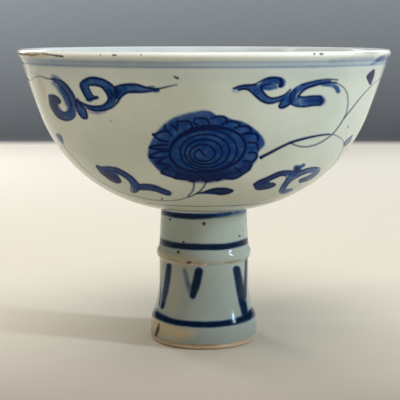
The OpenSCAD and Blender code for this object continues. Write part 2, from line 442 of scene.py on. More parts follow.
def lotus_centre(canvas):
    """The seed head: a washed disc with a brush spiral that drifts and widens as it turns."""
    centre, wide, high, lean = (207.6, 149.7), 37.6, 22.7, 0.22
    canvas.fill("wash", ellipse(centre, wide, high, lean), 0.4)
    canvas.brush("line", ellipse(centre, wide, high, lean), 2.6, closed=True)
    canvas.brush("line", ellipse(centre, wide, high, lean, 195, 300), 5.4, 0.5, 0.35, edge=1.6)
    heart = (205.2, 156.0)
    middle, drift = np.array([202.5, 154.7]), np.array([1.3, -1.0])
    reach, growth = np.array([7, 5]), np.array([6, 4.1])
    turns = np.linspace(0, 4.1, 66)[:, None]
    angle = 2 * math.pi * (0.75 - turns)
    circle = np.concatenate([np.cos(angle), np.sin(angle)], axis=1)
    spiral = middle + drift * turns + (reach + growth * turns) * circle
    canvas.brush("line", np.concatenate([[heart], spiral[1:]]), 2.0, 1.0, 1.0, 0.85)


def lotus_petals(canvas):
    """The ring of petals: a loose wash with scalloped outlines, pointed on the left."""
    edge = [
        (148.2, 152), (150.3, 144), (154.5, 135.5), (160, 128), (169.5, 120), (179.5, 115.3), (190, 112.7),
        (200, 110.8), (208.3, 111), (213.5, 113.5), (218, 116.5), (226, 117.3), (233, 120), (241.5, 121.6),
        (250, 125.8), (258, 132.3), (263.8, 139.8), (264, 145.5), (259.5, 150.5), (257.5, 154),
        (256.4, 159), (252.3, 165.4), (246.5, 171), (240, 176), (233, 179), (225, 179), (216.5, 180.3),
        (206.7, 181.5), (196, 181), (186.8, 179.8), (174.5, 177.6), (162, 172.6), (154.4, 165.4),
        (149, 158.7),
    ]
    canvas.fill("wash", edge, 0.9, 3.0)
    canvas.lift("wash", [(157, 132), (164, 124.5), (175, 117.6), (190, 114.6), (206, 113)], 6, 0.28, 6)
    canvas.lift("wash", [(151.6, 151), (154.6, 142.4), (158.6, 134.6)], 5, 0.3, 5)
    dark_side = [
        (158, 163), (166, 168), (178, 173), (192, 176.5), (207, 177), (222, 175), (235, 172), (246, 166),
    ]
    canvas.brush("wash", dark_side, 10, 0.6, 0.7, 0.75, 4)
    canvas.brush("line", dark_side, 9, 0.5, 0.4, 0.7, 7)
    outlines = [
        [(211.7, 118.1), (218.3, 116.4), (224.1, 116.9), (226.6, 119.3), (225.8, 122.2), (221.6, 124.7)],
        [(222.4, 124.3), (229.1, 121.6), (235.7, 121.8), (239.4, 124.3), (238.2, 126.8), (234.9, 128)],
        [(235.7, 127.6), (241.5, 126.3), (248.1, 126.8), (251, 129.7), (249.8, 132.6), (242.3, 134.3)],
        [(241.5, 134.7), (249, 133), (255.6, 134.3), (258.1, 137.2), (257.7, 141.3)],
        [(248.1, 142.6), (253.1, 142.6), (257.3, 144.6), (257.7, 149.6)],
        [(249, 152.9), (253.9, 152.5), (256.8, 154.6), (256.4, 157.9), (252.3, 162)],
        [(244, 161.2), (249, 161.4), (251, 163.7), (249.8, 168.7), (244.8, 172.8), (239.8, 175.3)],
        [(234.9, 167.8), (241.5, 172.8), (239.8, 175.8), (233.2, 178.6), (225.7, 177.8), (221.6, 173.7)],
        [(221.6, 173.7), (222.4, 177), (217.5, 179.9), (214.1, 178.6), (212.5, 174.5)],
        [(212.5, 175), (213.5, 178.8), (207.5, 181.1), (203.4, 179.5), (200, 176.5)],
        [(200, 178), (193.4, 181), (188.4, 179), (190.1, 175.3)],
        [(188, 179.3), (175.2, 177.8), (179.3, 172.8)],
        [(175, 177.8), (161.9, 172.8), (166, 168.5), (170.5, 166)],
        [(169, 164.2), (157.8, 162.9), (163, 159), (168, 156.6)],
        [(164, 158.2), (149.9, 157.1), (156.9, 152.6), (167.5, 151)],
        [(167.5, 149.3), (158, 149.3), (149.9, 147.5), (157, 145.4), (167.5, 144.8)],
        [(168.5, 141.3), (161.9, 140.9), (156.9, 138), (153.2, 134.5)],
        [(154, 134.9), (160, 132.2), (165.2, 131.2), (169.5, 132.6), (171.8, 136)],
        [(165, 125.4), (165.4, 130)],
        [(170, 124.6), (174.3, 127), (177, 130.4)],
        [(177.6, 120.4), (177.2, 128.6)],
        [(178.5, 121.2), (187.6, 121.2), (191.2, 123.9), (192.4, 128.5)],
        [(195, 118), (194.2, 123.1), (198, 124.8)],
        [(196, 118.3), (201.7, 118.2), (206.7, 119.1), (208.9, 123.1), (208.3, 127.2)],
    ]
    for outline in outlines:
        canvas.line(outline, 2.1, 0.8, 0.8)
    canvas.spots("line", [
        (153.4, 134.5, 3), (150, 147.5, 2.6), (150.2, 157, 2.2), (162, 172.7, 3), (174.6, 177.6, 2.6),
    ], 0.9)


def lotus_stalks(canvas):
    """Two stalks that run into the low vine on the left, and the small leaf on the right."""
    canvas.line([(193.8, 180), (193.9, 186.5), (192.2, 191.5), (188, 195.9)], 1.6, 1, 0.8, 0.7)
    canvas.line([
        (207, 180), (203.9, 186.5), (199.6, 191.5), (194.6, 194.6), (188.8, 196.9),
    ], 1.6, 1, 0.8, 0.7)
    vine = [
        (190, 196.4), (183, 198.8), (176.4, 200.3), (169.8, 200.8), (161.5, 200.6), (151.5, 199.8),
        (141.6, 197.8), (131, 195), (119.6, 191.6), (110.5, 187.3), (101, 181.9), (92, 176), (84.4, 169.1),
        (76.8, 160.8), (69.1, 152.5), (62.5, 144),
    ]
    canvas.line(vine, 1.5, 1, 0.8, 0.46)
    leaf = [
        (196.3, 193.7), (204.6, 191.3), (211.2, 188.8), (219.5, 187.8), (227.8, 188.1), (233.4, 190.7),
        (228.6, 193.8), (221.2, 195), (213.7, 194.2), (205.4, 193.6),
    ]
    canvas.fill("wash", leaf, 0.95, 1.6)
    canvas.fill("line", leaf, 0.6, 2.2)
    canvas.brush("line", [(206, 191.4), (213, 189.6), (221, 189), (231.5, 190.6)], 2.2, 0.4, 0.9)
    canvas.brush("line", [(212, 193), (220, 193.4), (228, 192.4), (232, 191)], 2.8, 0.3, 0.8, 0.8, 1.6)


def left_curls(canvas):
    """The two scrolled leaves at the upper left, their stub and the long tail towards the flower."""
    canvas.line([
        (31, 81), (35.1, 77.4), (39.7, 76.3), (43.7, 77.2), (47.1, 78.6), (52, 79),
    ], 1.4, 0.4, 1, 0.7)
    band = [(53, 79), (60, 83.5), (65.5, 90.5), (69.6, 98), (71.6, 106), (70.5, 113)]
    canvas.brush("wash", band, 9, 0.35, 0.9, 0.8, 3)
    canvas.brush("wash", [(53, 83), (59, 89), (64, 97), (66.5, 105)], 4.5, 0.6, 0.5, 0.5, 3)
    low = [(72.5, 112), (68, 116.3), (62, 115.6), (57, 110.6), (53.4, 104), (53, 98.6)]
    canvas.brush("wash", low, 7.6, 0.9, 1, 0.92, 2)
    canvas.fill("wash", [
        (48.9, 95.2), (54.6, 95.4), (59.4, 99), (59.8, 102.5), (56.5, 104), (53, 107), (50.4, 102),
    ], 0.85)
    canvas.brush("wash", [(52, 75.5), (57, 77.4), (61.5, 80.5)], 3, 0.5, 0.4, 0.5, 3)
    canvas.line([
        (51, 78.9), (58.6, 80.1), (64.4, 83.3), (69, 89), (72.4, 93.6), (75, 99.3), (76.8, 106),
    ], 2.2)
    canvas.line([
        (54, 80.4), (60.3, 85.4), (65.5, 91.9), (69, 98.2), (71, 105.6), (70.2, 110.8), (66, 112.2),
        (61, 112),
    ], 1.9)
    outline = [
        (48.9, 95.9), (50.6, 102.8), (54, 110.8), (57.5, 116.4), (63.2, 119.7), (68.4, 120.2), (73, 118.2),
        (75.6, 114.6),
    ]
    canvas.line(outline, 2.1)
    hook = [
        (48.9, 95.8), (54.6, 96.3), (58.6, 98.8), (60.2, 102), (57.5, 103.9), (55.2, 106.2), (56.3, 109.7),
        (59, 112.3),
    ]
    canvas.line(hook, 2.1)
    canvas.spots("line", [(58.4, 101, 4.4), (55, 99, 6), (54, 106, 5.5), (61, 116, 5)], 0.55)
    canvas.brush("iron", [(51.6, 97), (52.6, 103), (55, 109), (58, 114)], 7, 0.9, 0.5, 0.3, 3)
    stub = [
        (77.2, 99.5), (79.9, 103.9), (84.7, 108.5), (86.5, 113.1), (87, 118), (82.7, 117.9), (77.9, 111.6),
        (76, 104.5),
    ]
    canvas.fill("wash", stub, 0.85, 1.6)
    canvas.brush("line", stub, 1.8, closed=True, strength=0.95)
    over = [
        (90, 98.5), (87.2, 94), (84.4, 88), (85, 84), (90.5, 81.5), (98, 82), (105, 85), (110.5, 89.6),
        (113.5, 95.5),
    ]
    canvas.brush("wash", over, 7.4, 0.9, 1.1, 0.88, 1.8)
    canvas.lift("wash", [(88, 88), (91, 82.6), (98, 81), (105, 84), (109.5, 88)], 2.6, 0.2, 3)
    canvas.brush("wash", [(107, 90.6), (110, 95), (110, 100), (107, 104)], 5, 0.7, 0.6, 0.85, 2)
    canvas.brush("line", [(109.6, 90), (112, 95), (111.4, 100)], 4.4, 0.6, 0.6, 0.6, 3)
    under = [(114, 95), (112.5, 101), (107, 106.4), (100, 108.4), (92, 108), (85.5, 105.4), (80.5, 102.4)]
    canvas.brush("wash", under, 5.2, 1.2, 0.4, 0.86, 2.2)
    canvas.brush("wash", [(88, 112), (97, 113), (106, 111.5)], 2.4, 0.4, 0.4, 0.45, 3)
    outer = [
        (87.4, 100.2), (84.1, 93.3), (80.6, 86.4), (81.3, 82.7), (85.5, 79.6), (91.1, 77.8), (98.2, 78.4),
        (105.2, 80.6), (111.5, 84.5), (114.6, 88.4), (115.4, 93),
    ]
    canvas.line(outer, 2.1)
    inner = [
        (96.6, 97.6), (92.5, 95.2), (90.1, 91.2), (88.3, 87.3), (89.4, 85.3), (95.4, 85.2), (101, 86.6),
        (104.4, 89.8), (107.2, 93.8), (108.8, 98), (107.8, 101.6), (104.6, 104.4), (101, 106.1),
        (93.2, 106.6), (86.2, 105.2), (80.6, 102.8), (77.1, 98.9),
    ]
    canvas.line(inner, 2.0)
    canvas.line([(97, 97.6), (92.5, 98.9), (87.6, 99.9)], 2.2, 1.4, 0.8)
    tail = [
        (115, 87), (122.7, 84.8), (131.1, 84.3), (138.2, 84.8), (145, 87), (153, 89), (158.6, 89.4),
        (150.8, 91.3), (141.7, 92.3), (134, 92.2), (128.3, 92.4), (124, 94.6), (120, 98), (116.5, 99),
        (113.5, 95),
    ]
    canvas.fill("wash", tail, 0.9, 1.8)
    canvas.lift("wash", [(128, 88.6), (137, 88.4), (147, 89.4)], 2.6, 0.4, 3)
    canvas.brush("line", [(115.5, 88), (117.5, 92), (116.5, 98)], 4.5, 0.6, 0.5, 0.75, 3)
    upper = [
        (115.6, 87), (122.7, 84.9), (131.1, 84.2), (138.2, 84.9), (145, 87.2), (153.6, 88.8), (160, 88.4),
        (168, 86.6), (177, 84.7),
    ]
    canvas.line(upper, 1.7, 1.1, 0.35)
    lower = [
        (158.5, 89.8), (150.8, 91.3), (141.7, 92.2), (134.6, 92.1), (128.3, 92.3), (124.1, 94.3),
        (120.6, 97.5), (117.1, 102.4), (112.9, 106.6), (107.3, 109.3), (101, 110.5), (93.9, 110.4),
        (87, 108.4),
    ]
    canvas.line(lower, 1.9)
    canvas.brush("wash", [(149, 87), (154, 87)], 2.4, strength=0.5)
    canvas.brush("wash", [(155, 91.4), (158.5, 91)], 3, strength=0.6)


def right_curls(canvas):
    """The scrolled leaves at the upper right: crossing bar, drooping tip, and a dark leaf at the edge."""
    hook = [(262, 86), (267, 81.6), (273, 80.6), (279.5, 81.2), (281.2, 84)]
    canvas.brush("wash", hook, 7, 0.8, 1, 0.88, 2)
    canvas.brush("wash", [(281, 78.5), (284.4, 81), (284, 85)], 3, 0.8, 0.5, 0.6, 2)
    canvas.brush("wash", [(263.4, 87), (269, 87.6), (276, 87.4)], 5.4, 1, 0.6, 0.78, 2.4)
    inside = [
        (261.3, 87.9), (263.3, 91.9), (267.3, 96.3), (272, 98.2), (277.6, 97.5), (283.2, 95.5),
        (287.2, 92.7), (290.5, 89.3),
    ]
    outside = [
        (244.9, 88.9), (249.7, 90.7), (254.5, 95.1), (260.1, 99.9), (265.7, 102.7), (271.3, 103.1),
        (276.8, 101.6),
    ]
    top = [(238, 88.3), (246, 86.5), (254, 85.2), (260, 84.4)]
    body = top + inside + [(289, 95), (285, 99)] + outside[::-1]
    canvas.fill("wash", body, 0.6, 1.6)
    spur = [(234, 89), (243, 87.4), (251, 87.6), (258, 91.4)]
    canvas.brush("wash", spur, 4.4, 0.3, 1.4, 0.7, 2)
    canvas.brush("wash", [(232.6, 91), (238, 91.6)], 2.2, 0.6, 0.5, 0.3, 3)
    sweep = [(256, 90), (260.4, 95), (266, 100), (272, 101), (279, 99.6), (285, 98)]
    canvas.brush("wash", sweep, 6, 1.3, 1, 0.4, 1.8)
    canvas.line([(233.6, 88.5), (240.9, 86), (250.5, 85.1), (255.3, 84.6)], 1.9, 0.8, 1)
    canvas.line([
        (254.6, 85), (260.1, 81.6), (266.5, 78.8), (272.8, 77.7), (280, 78.4), (282.4, 82.4), (281.6, 86.3),
        (279, 87),
    ], 1.9)
    canvas.line([(280, 80), (281.4, 83), (280.4, 86)], 3, 0.7, 0.9, 0.8)
    canvas.line([(238.6, 89.9)] + outside + [(282, 100.2)], 1.8, 1)
    canvas.line([(276, 85.5), (269.7, 84.3), (263.3, 85.5)] + inside, 1.7)
    notch = [
        (282.6, 99.5), (280, 104), (279.3, 107), (282, 107.8), (286, 106.4), (290.5, 103.2), (293.2, 99),
    ]
    canvas.fill("wash", notch + [(290, 95)], 0.75, 1.8)
    canvas.line(notch, 1.9)
    arch = [(291, 101), (293, 94.5), (297.4, 89.4), (304, 86), (312, 83.9), (321, 82), (330, 81)]
    canvas.brush("wash", arch, 5.4, 1.4, 0.4, 0.74, 1.8)
    canvas.line([(295.4, 89.2), (291.4, 93.4), (290, 98.6), (290.6, 102)], 1.8)
    canvas.line([(296, 91), (294, 95), (292.4, 99.6)], 1.5, 0.6, 0.6, 0.8)
    canvas.line([
        (302, 85.1), (311.1, 82.3), (319.1, 80.4), (328.7, 79.3), (337.4, 79.9),
    ], 1.7, 1.2, 0.7, 0.75)
    droop = [
        (298.4, 95.9), (301.6, 91.9), (306.3, 88.4), (312.7, 85.9), (320.7, 83.8), (328.7, 82.4),
        (335.8, 82.9),
    ]
    canvas.line(droop, 2.1, 0.9, 0.7)
    thin = [
        (335.8, 82.9), (341.4, 85.8), (345.4, 90), (347.6, 96), (347.9, 104), (346.4, 112.6), (344.3, 118),
    ]
    canvas.line(thin, 1.2, 1, 1, 0.55)
    canvas.brush("wash", [(322, 85), (330, 85), (336, 87.4), (338, 91)], 4, 0.5, 1.2, 0.66, 2)
    bar = [
        (297, 96.6), (304.7, 97), (312.7, 96.2), (320.7, 96), (324.2, 100), (320.6, 105), (311.9, 105.6),
        (304.7, 106.7), (296.8, 106.4), (291.8, 104),
    ]
    canvas.fill("wash", bar, 0.64, 1.8)
    canvas.brush("wash", [(306, 101.4), (320.6, 100.6)], 8, 0.7, 1, 0.8, 5)
    canvas.brush("line", [(310, 101.2), (320.4, 100.6)], 6, 0.5, 1, 0.5, 6)
    canvas.line([(298, 96.7), (304.7, 97), (312.7, 96.2), (320.4, 96.1)], 1.5, 1, 0.8, 0.85)
    canvas.line([
        (292, 104.4), (297, 106.3), (304.7, 106.6), (311.9, 105.4), (320, 105),
    ], 1.6, 0.8, 0.7, 0.85)
    canvas.line([(320.6, 97), (321.6, 100), (320, 104)], 2.4, 0.6, 0.6, 0.8)
    leaf = [
        (374.2, 69.4), (369.8, 72.8), (366.7, 76.6), (368, 80.8), (370.2, 84.6), (372.6, 79.8),
        (374.4, 73.4),
    ]
    canvas.fill("wash", leaf, 1.0, 1.2)
    canvas.fill("line", leaf, 1.0, 1.4)


def right_vine(canvas):
    """The vine that comes down from the upper right, loops, and runs on under the leaves."""
    vine = [
        (384, 76), (375.4, 82), (369.3, 87.8), (363.1, 94.7), (356.9, 102.1), (350.7, 110.1),
        (344.5, 117.6), (340.2, 124.4), (334.6, 131.8), (331.5, 134.9), (325.9, 139.2), (319.8, 142.9),
        (313.6, 145.4), (306.1, 146.8), (300, 146.4), (294.6, 144.9), (290, 142.6),
    ]
    canvas.line(vine, 1.15, 0.9, 0.9, 0.75)
    stroke = [
        (261, 157.4), (269.6, 153), (280.1, 147.5), (290.6, 142.6), (301.1, 139.4), (311.7, 136.9),
        (320.8, 135.2), (329.2, 134.3),
    ]
    canvas.line(stroke, 2.2, 1.25, 0.7, 0.85)
    canvas.spots("line", [(261, 157.4, 3)], 0.95)
    fall = [
        (329, 134.3), (334.8, 135), (340.4, 138), (343.3, 141.4), (343.6, 146), (341.8, 151),
        (338.3, 157.3), (334.1, 162.9), (329.2, 168.5), (323.6, 174.1), (315.2, 180.4), (306.8, 186.1),
    ]
    canvas.line(fall, 1.3, 1, 0.3, 0.5)


def low_left_scroll(canvas):
    """The scrolled leaf low on the left and its tail."""
    upper = [
        (97.5, 166.6), (104, 169.6), (110.5, 169), (117, 170.4), (124, 174.2), (130, 178.6), (134.4, 183.6),
        (135.8, 189),
    ]
    canvas.brush("wash", upper, 5.6, 0.5, 1.2, 0.9, 1.5)
    hook = [
        (97, 166.6), (104, 168.6), (111, 171), (117, 174), (119.6, 178), (120, 181.6), (116, 182),
        (108, 178), (101, 172),
    ]
    canvas.fill("wash", hook, 0.92, 1.6)
    canvas.brush("line", [(104, 172.4), (110, 175.4), (118, 180.6)], 5.6, 0.5, 0.8, 0.75, 3)
    tail = [(138, 187), (146.5, 186.7), (155, 188), (162.5, 191), (169.4, 193.4)]
    canvas.brush("wash", tail, 5.6, 1, 0.8, 0.9, 1.8)
    canvas.brush("line", tail, 3.2, 0.6, 0.9, 0.5, 3)
    canvas.line([
        (96.4, 165.6), (101, 167.2), (107.4, 166.9), (113.8, 168.2), (120.2, 170.4), (126.5, 173.6),
        (131.6, 176.8), (135.5, 180.6), (139.4, 184.6),
    ], 1.7, 0.8, 0.9)
    canvas.line([
        (96.4, 166), (100.4, 172.2), (106.1, 176.8), (111.2, 180.6), (117, 182.8), (120.8, 181.9),
        (119.5, 178.9),
    ], 1.8, 0.8, 0.9)
    canvas.line([
        (104.2, 171), (110.6, 170.8), (117, 172.4), (122.1, 175), (126.5, 177.9), (130.2, 182),
        (131.4, 187),
    ], 1.7)
    canvas.line([(131, 187.4), (131.4, 191.4), (135.5, 192.2), (138.8, 189.4), (140.4, 187)], 2, 0.7, 1)
    canvas.line([(139, 184.6), (146.5, 184.5), (154.8, 186), (162.3, 189), (169, 191.4)], 1.3, 1, 0.8, 0.8)
    canvas.line([(139.4, 189.6), (147.4, 189.8), (155.7, 191), (163.1, 193.6), (168, 195)], 1.8, 0.8, 0.8)


def low_right_scroll(canvas):
    """The scrolled leaf low on the right, with its knob and its stem."""
    lobe = [
        (254.1, 184.4), (259, 181.1), (264, 180), (268, 181.4), (274.6, 184.6), (270, 187.6), (263, 189),
        (256.6, 189),
    ]
    canvas.fill("wash", lobe, 0.95, 1.5)
    canvas.fill("line", lobe, 0.45, 3)
    arch = [(260, 182.6), (267, 179.6), (274, 176.6), (281, 173.8), (289, 173.6), (294.6, 174.6)]
    canvas.brush("wash", arch, 4.6, 0.9, 1, 0.9, 1.5)
    canvas.brush("line", arch, 2.4, 0.9, 0.5, 0.3, 3)
    stem = [
        (293, 174.6), (289.6, 178.6), (286, 183.4), (283, 188.4), (282.6, 191.4), (287, 190.6),
        (291.6, 189.4),
    ]
    canvas.brush("wash", stem, 4.6, 1.2, 0.4, 0.84, 1.5)
    curl = [
        (295, 174.6), (302, 172.4), (309, 170.2), (315.6, 169.4), (316.6, 171.6), (311, 176.4),
        (305, 179.4), (300.4, 181),
    ]
    canvas.brush("wash", curl, 4.6, 1, 0.8, 0.66, 1.6)
    canvas.brush("wash", [(300, 167), (303.6, 165)], 3.2, strength=0.7)
    canvas.line([
        (254, 184.8), (259, 181.1), (266.1, 178.2), (273.1, 174.8), (280.1, 172), (287.1, 170.9),
        (294.4, 171.2),
    ], 1.7, 1.1, 0.8)
    canvas.line([
        (254.1, 184.6), (256.2, 188.9), (261.1, 189.3), (268.2, 188.2), (273.8, 186.1), (275.3, 184.3),
        (272.6, 183),
    ], 1.8, 0.9, 0.8)
    canvas.line([
        (264, 183.4), (268.2, 181.1), (273.1, 178.2), (278.7, 175.8), (282.9, 175.1), (286.4, 176.8),
        (286.3, 179.8),
    ], 1.6)
    canvas.line([
        (287, 179), (282.9, 184.6), (279.5, 190.3), (280.2, 193.1), (283.6, 193.5), (288.5, 192.3),
        (292.9, 189.4),
    ], 1.6, 0.9, 0.5)
    canvas.line([
        (285, 189.8), (287.1, 185.4), (291.3, 181), (296.9, 177.4), (303.2, 174.4), (308.2, 172.6),
        (313, 171.9),
    ], 1.6)
    canvas.line([
        (296, 173.4), (303.9, 169.9), (310.3, 168.1), (317.3, 167.5), (320, 169), (318, 172.7),
        (313.8, 176.6), (308.2, 180.1), (299.7, 182.6),
    ], 1.6, 0.9, 1)
    canvas.line([(300, 182), (301.4, 179.2), (306.1, 177.5), (311, 174.8)], 1.9, 0.9, 0.4)
    canvas.spots("wash", [(297.4, 168.9, 7)], 0.95)
    canvas.spots("line", [(296.8, 169.4, 5), (305, 179.6, 3.4)], 0.7)


def border_ends(canvas):
    """The rim border's denser wash at the left of the view, and its blot at the right."""
    canvas.brush("wash", [(30, 62.6), (60, 62), (100, 63), (150, 64), (190, 64.4)], 6, 1, 0.0, 0.14, 4)
    canvas.brush("iron", [(40, 66), (62, 65.6), (100, 65), (150, 65), (190, 65)], 8, 1, 0.0, 0.12, 5)
    canvas.brush("wash", [(330, 61.4), (352, 59.8), (372, 58.2)], 5, 0.6, 1, 0.2, 4)
    canvas.brush("wash", [(371, 65), (376, 61.4), (380, 59.4)], 2.4, 0.4, 0.9, 0.4, 2)
    canvas.brush("wash", [(377.6, 60.2), (382, 58.6), (388, 58)], 5.4, 0.7, 1, 0.75, 2.4)


def side_leaves(canvas):
    """The leaves at both edges of the view, where the vines go round to the next flowers."""
    left = [(55.8, 134), (59.6, 133.8), (62.8, 138.3), (63.3, 143.6), (60, 141.4), (57.5, 138)]
    canvas.fill("wash", left, 0.6, 0.9)
    canvas.line([(57, 134.6), (61, 137.6), (63, 143.4)], 1.4, 0.6, 0.8, 0.6)
    right = [(343.9, 146.6), (344.3, 142.3), (348.6, 138.4), (352.8, 134.6), (350.9, 141), (346.6, 145.6)]
    canvas.fill("wash", right, 0.5, 0.9)
    canvas.line([(344, 146.4), (345, 142), (352, 135.4)], 1.6, 0.8, 0.6, 0.7)


def side_vine(canvas):
    """The vine seen from the side, where it passes over the next flower to the next tendril."""
    canvas.line([
        (158, 86.6), (180, 85.6), (204, 84.2), (228, 83.4), (248, 84.2), (262, 85.8), (277, 84.8),
    ], 1.3, 0.8, 0.8, 0.65)


def stem_bands(canvas):
    """The three brushed bands of the stem: at the joint, above the ring and on the foot."""
    joint = [
        (156, 210.8), (163, 212.4), (172, 214.6), (185, 216), (200, 216.3), (215, 215.4), (230, 213.4),
        (244, 210.6), (250, 209),
    ]
    canvas.brush("wash", joint, 4.4, 0.7, 0.5, 0.6, 2.6)
    canvas.brush("wash", joint[:7], 5.2, 0.7, 0.3, 0.8, 2.6)
    canvas.brush("line", joint[:6], 4.8, 0.4, 0.1, 0.9, 2.6)
    over_ring = [
        (157, 239.6), (162, 242), (174, 245.2), (190, 246.5), (207, 247), (224, 246.6), (238, 243.9),
        (247, 240.8), (251, 238.6),
    ]
    canvas.brush("wash", over_ring, 6, 1, 0.9, 0.9, 2.0)
    canvas.brush("line", over_ring, 4.6, 0.6, 0.6, 0.85, 2.2)
    on_foot = [
        (150, 306.5), (156.7, 313.6), (168.7, 320), (183, 323.2), (205, 324.8), (226, 323.2),
        (243.3, 318.2), (252.9, 310.6), (258, 304),
    ]
    canvas.brush("wash", on_foot, 5.8, 1, 1.1, 0.85, 2.0)
    canvas.brush("line", on_foot, 4.2, 0.7, 0.8, 0.85, 2.2)


def fork_arm(canvas, points, width, start, end, strength):
    """One arm of a fork: a broad wash with a dark heart."""
    canvas.brush("wash", points, width + FORK_BLEED_WIDTH, start, end, strength, WASH_EDGE)
    canvas.brush("line", points, width, start, end, strength * FORK_HEART_STRENGTH, FORK_HEART_EDGE)


def stem_forks(canvas):
    """The arms of the forked strokes round the lower stem that the front shows well."""
    fork_arm(canvas, [(168.9, 266), (167.4, 280), (164.2, 297), (162.4, 307)], 4.2, 0.9, 0.6, 0.9)
    canvas.brush("wash", [(184.6, 270.5), (187.4, 282), (191, 294)], 5, 0.8, 1, 0.46, 2.6)
    fork_arm(canvas, [(198.8, 271.5), (196.8, 281), (194.4, 290), (192.8, 296)], 6.8, 0.95, 0.7, 0.95)
    fork_arm(canvas, [(236.6, 269.5), (239.4, 284), (242.6, 302), (245.2, 316)], 6.6, 0.9, 0.75, 0.95)


def stem_forks_right(canvas):
    """The other arm of the right fork, with the stem turned by a sixth."""
    fork_arm(canvas, [(213, 268), (211, 286), (207.6, 300)], 8, 1, 0.8, 0.9)


def stem_forks_left(canvas):
    """The other arm of the left fork, with the stem turned back by a sixth."""
    fork_arm(canvas, [(192, 284), (194, 298), (197, 311)], 3.4, 0.6, 0.8, 0.6)


def bowl_flaws(canvas):
    """Iron specks and pinholes in the bowl's glaze, and the rusty, fretted stretches of the lip."""
    canvas.brush("iron", [(174.4, 76.8), (177.6, 78.2)], 2.2, 0.8, 1.2, 1.0, 1.4)
    specks = [(162, 199, 2.4), (348.2, 126.8, 1.6), (111, 121, 1.2)]
    canvas.spots("iron", specks, 0.75)
    canvas.brush("ochre", [(37, 73), (40, 81), (42.4, 89), (45, 98)], 6, 0.8, 0.5, 0.4, 4)
    canvas.brush("iron", [(37, 74), (41, 84), (44, 94)], 4, 0.8, 0.4, 0.08, 4)
    canvas.brush("ochre", [(16.5, 52), (22, 53.6), (30, 54.4), (46, 55)], 5.4, 1.2, 0.5, 0.9, 4)
    canvas.brush("ochre", [(355, 53.5), (378, 52.6)], 3, 0.5, 0.5, 0.4, 3)
    canvas.brush("iron", [
        (18.3, 53), (22.4, 55), (27.8, 54.3), (31.6, 55.6), (38.4, 53.8),
    ], 1.7, 0.8, 0.6, 0.75, 1.2)
    canvas.brush("iron", [(42, 53.4), (49, 54.6), (55, 55.3), (62.5, 56.4)], 1.7, 0.6, 1.2, 0.9, 1.2)
    canvas.spots("iron", [
        (56.4, 56.4, 1.5), (60.3, 56.3, 1.6), (100.4, 55.1, 1.5), (141.2, 54.8, 1.6),
    ], 0.8)
    canvas.brush("iron", [(112.6, 55.2), (116, 55.2)], 1.6, 0.8, 0.8, 0.95, 1)
    canvas.spots("iron", [(314.5, 54, 2.2), (320.6, 54, 2.4), (322.6, 54.1, 2)], 0.95)
    canvas.brush("iron", [(364, 52.4), (371, 53), (378, 52.6)], 1.8, 0.5, 0.5, 0.25, 1.6)


def stem_flaws(canvas):
    """Iron specks on the stem, rusty stains on the foot, ochre and a pale line under the ring that are
    partly rust and partly a painted warm reflection, and a painted warm shade down the lower stem's left.
    """
    canvas.spots("iron", [
        (204, 223.7, 3.4), (170, 219.4, 2.2), (239.5, 236, 2), (183.5, 242, 2), (178.3, 252, 2.8),
    ], 1.0)
    # Ochre and a pale line under the ring: partly rust, partly a painted warm reflection
    canvas.brush("ochre", [(157, 252), (166, 257), (182, 260.4), (200, 262)], 7, 1, 0.5, 0.75, 6)
    canvas.brush("ochre", [(160, 259.4), (172, 263), (188, 264.6), (204, 264.8)], 2.6, 0.8, 0.6, 0.7, 2)
    canvas.brush("pale", [(158, 257), (168, 261.4), (184, 264), (206, 264.6)], 2, 0.8, 0.5, 0.9, 1.6)
    canvas.brush("ochre", [(150, 318), (160, 327), (178, 333), (190, 334)], 14, 1, 0.5, 0.85, 9)
    # Painted warm shade down the left of the lower stem
    canvas.brush("ochre", [(172, 270), (174, 290), (172, 308)], 12, 0.6, 0.8, 0.3, 10)
    canvas.brush("ochre", [(222, 263.6), (240, 260.6)], 4, 0.6, 0.6, 0.5, 4)
    canvas.brush("iron", [(168, 258.4), (175, 261), (181, 263), (187, 263.8)], 2.2, 0.4, 0.7, 0.36, 2.4)
    canvas.brush("iron", [(187.4, 262.6), (190.6, 262.6)], 2.6, 0.8, 0.8, 0.9, 1.4)
    canvas.brush("iron", [(194, 263.8), (203, 263.8)], 2.2, 0.6, 0.4, 0.3, 2)
    canvas.brush("iron", [(225, 262.8), (232, 262), (240, 260)], 2, 0.4, 0.5, 0.36, 2)
    canvas.brush("iron", [(159, 324), (157.6, 330), (156, 335)], 3, 0.4, 0.9, 1.0, 1.8)


def ring_band(paint, points, layer, height, width, strength, edge, wander=0.0):
    """A line brushed right round the turning cup, with slow waves in its height and its pigment."""
    angle = np.arctan2(points[:, 1], points[:, 0])
    wave = np.sin(2 * angle + 0.7) + 0.6 * np.sin(5 * angle + 2.1)
    middle = height + wander * wave
    density = np.clip((width / 2 - np.abs(points[:, 2] - middle)) / edge + 0.5, 0, 1)
    weight = 0.85 + 0.15 * np.sin(3 * angle + 1.3) * np.sin(7 * angle)
    paint[layer] = 1 - (1 - paint[layer]) * (1 - density * weight * strength)


def skin_facts(skin, columns):
    """Points and outward normals over a turned skin, in millimetres, flattened row by row."""
    points = turned_points(skin, columns).reshape(-1, 3)
    normals = turned_points(section_normals(skin), columns).reshape(-1, 3)
    return points, normals


def blank_paint(points):
    """Empty layers: pale glaze of an edge with painted highlight and light, ochre stain with painted warm
    reflection and shade, faint cobalt haze with painted shade, wash, dark line, iron speck.
    """
    return {layer: np.zeros(len(points)) for layer in ("pale", "ochre", "haze", "wash", "line", "iron")}


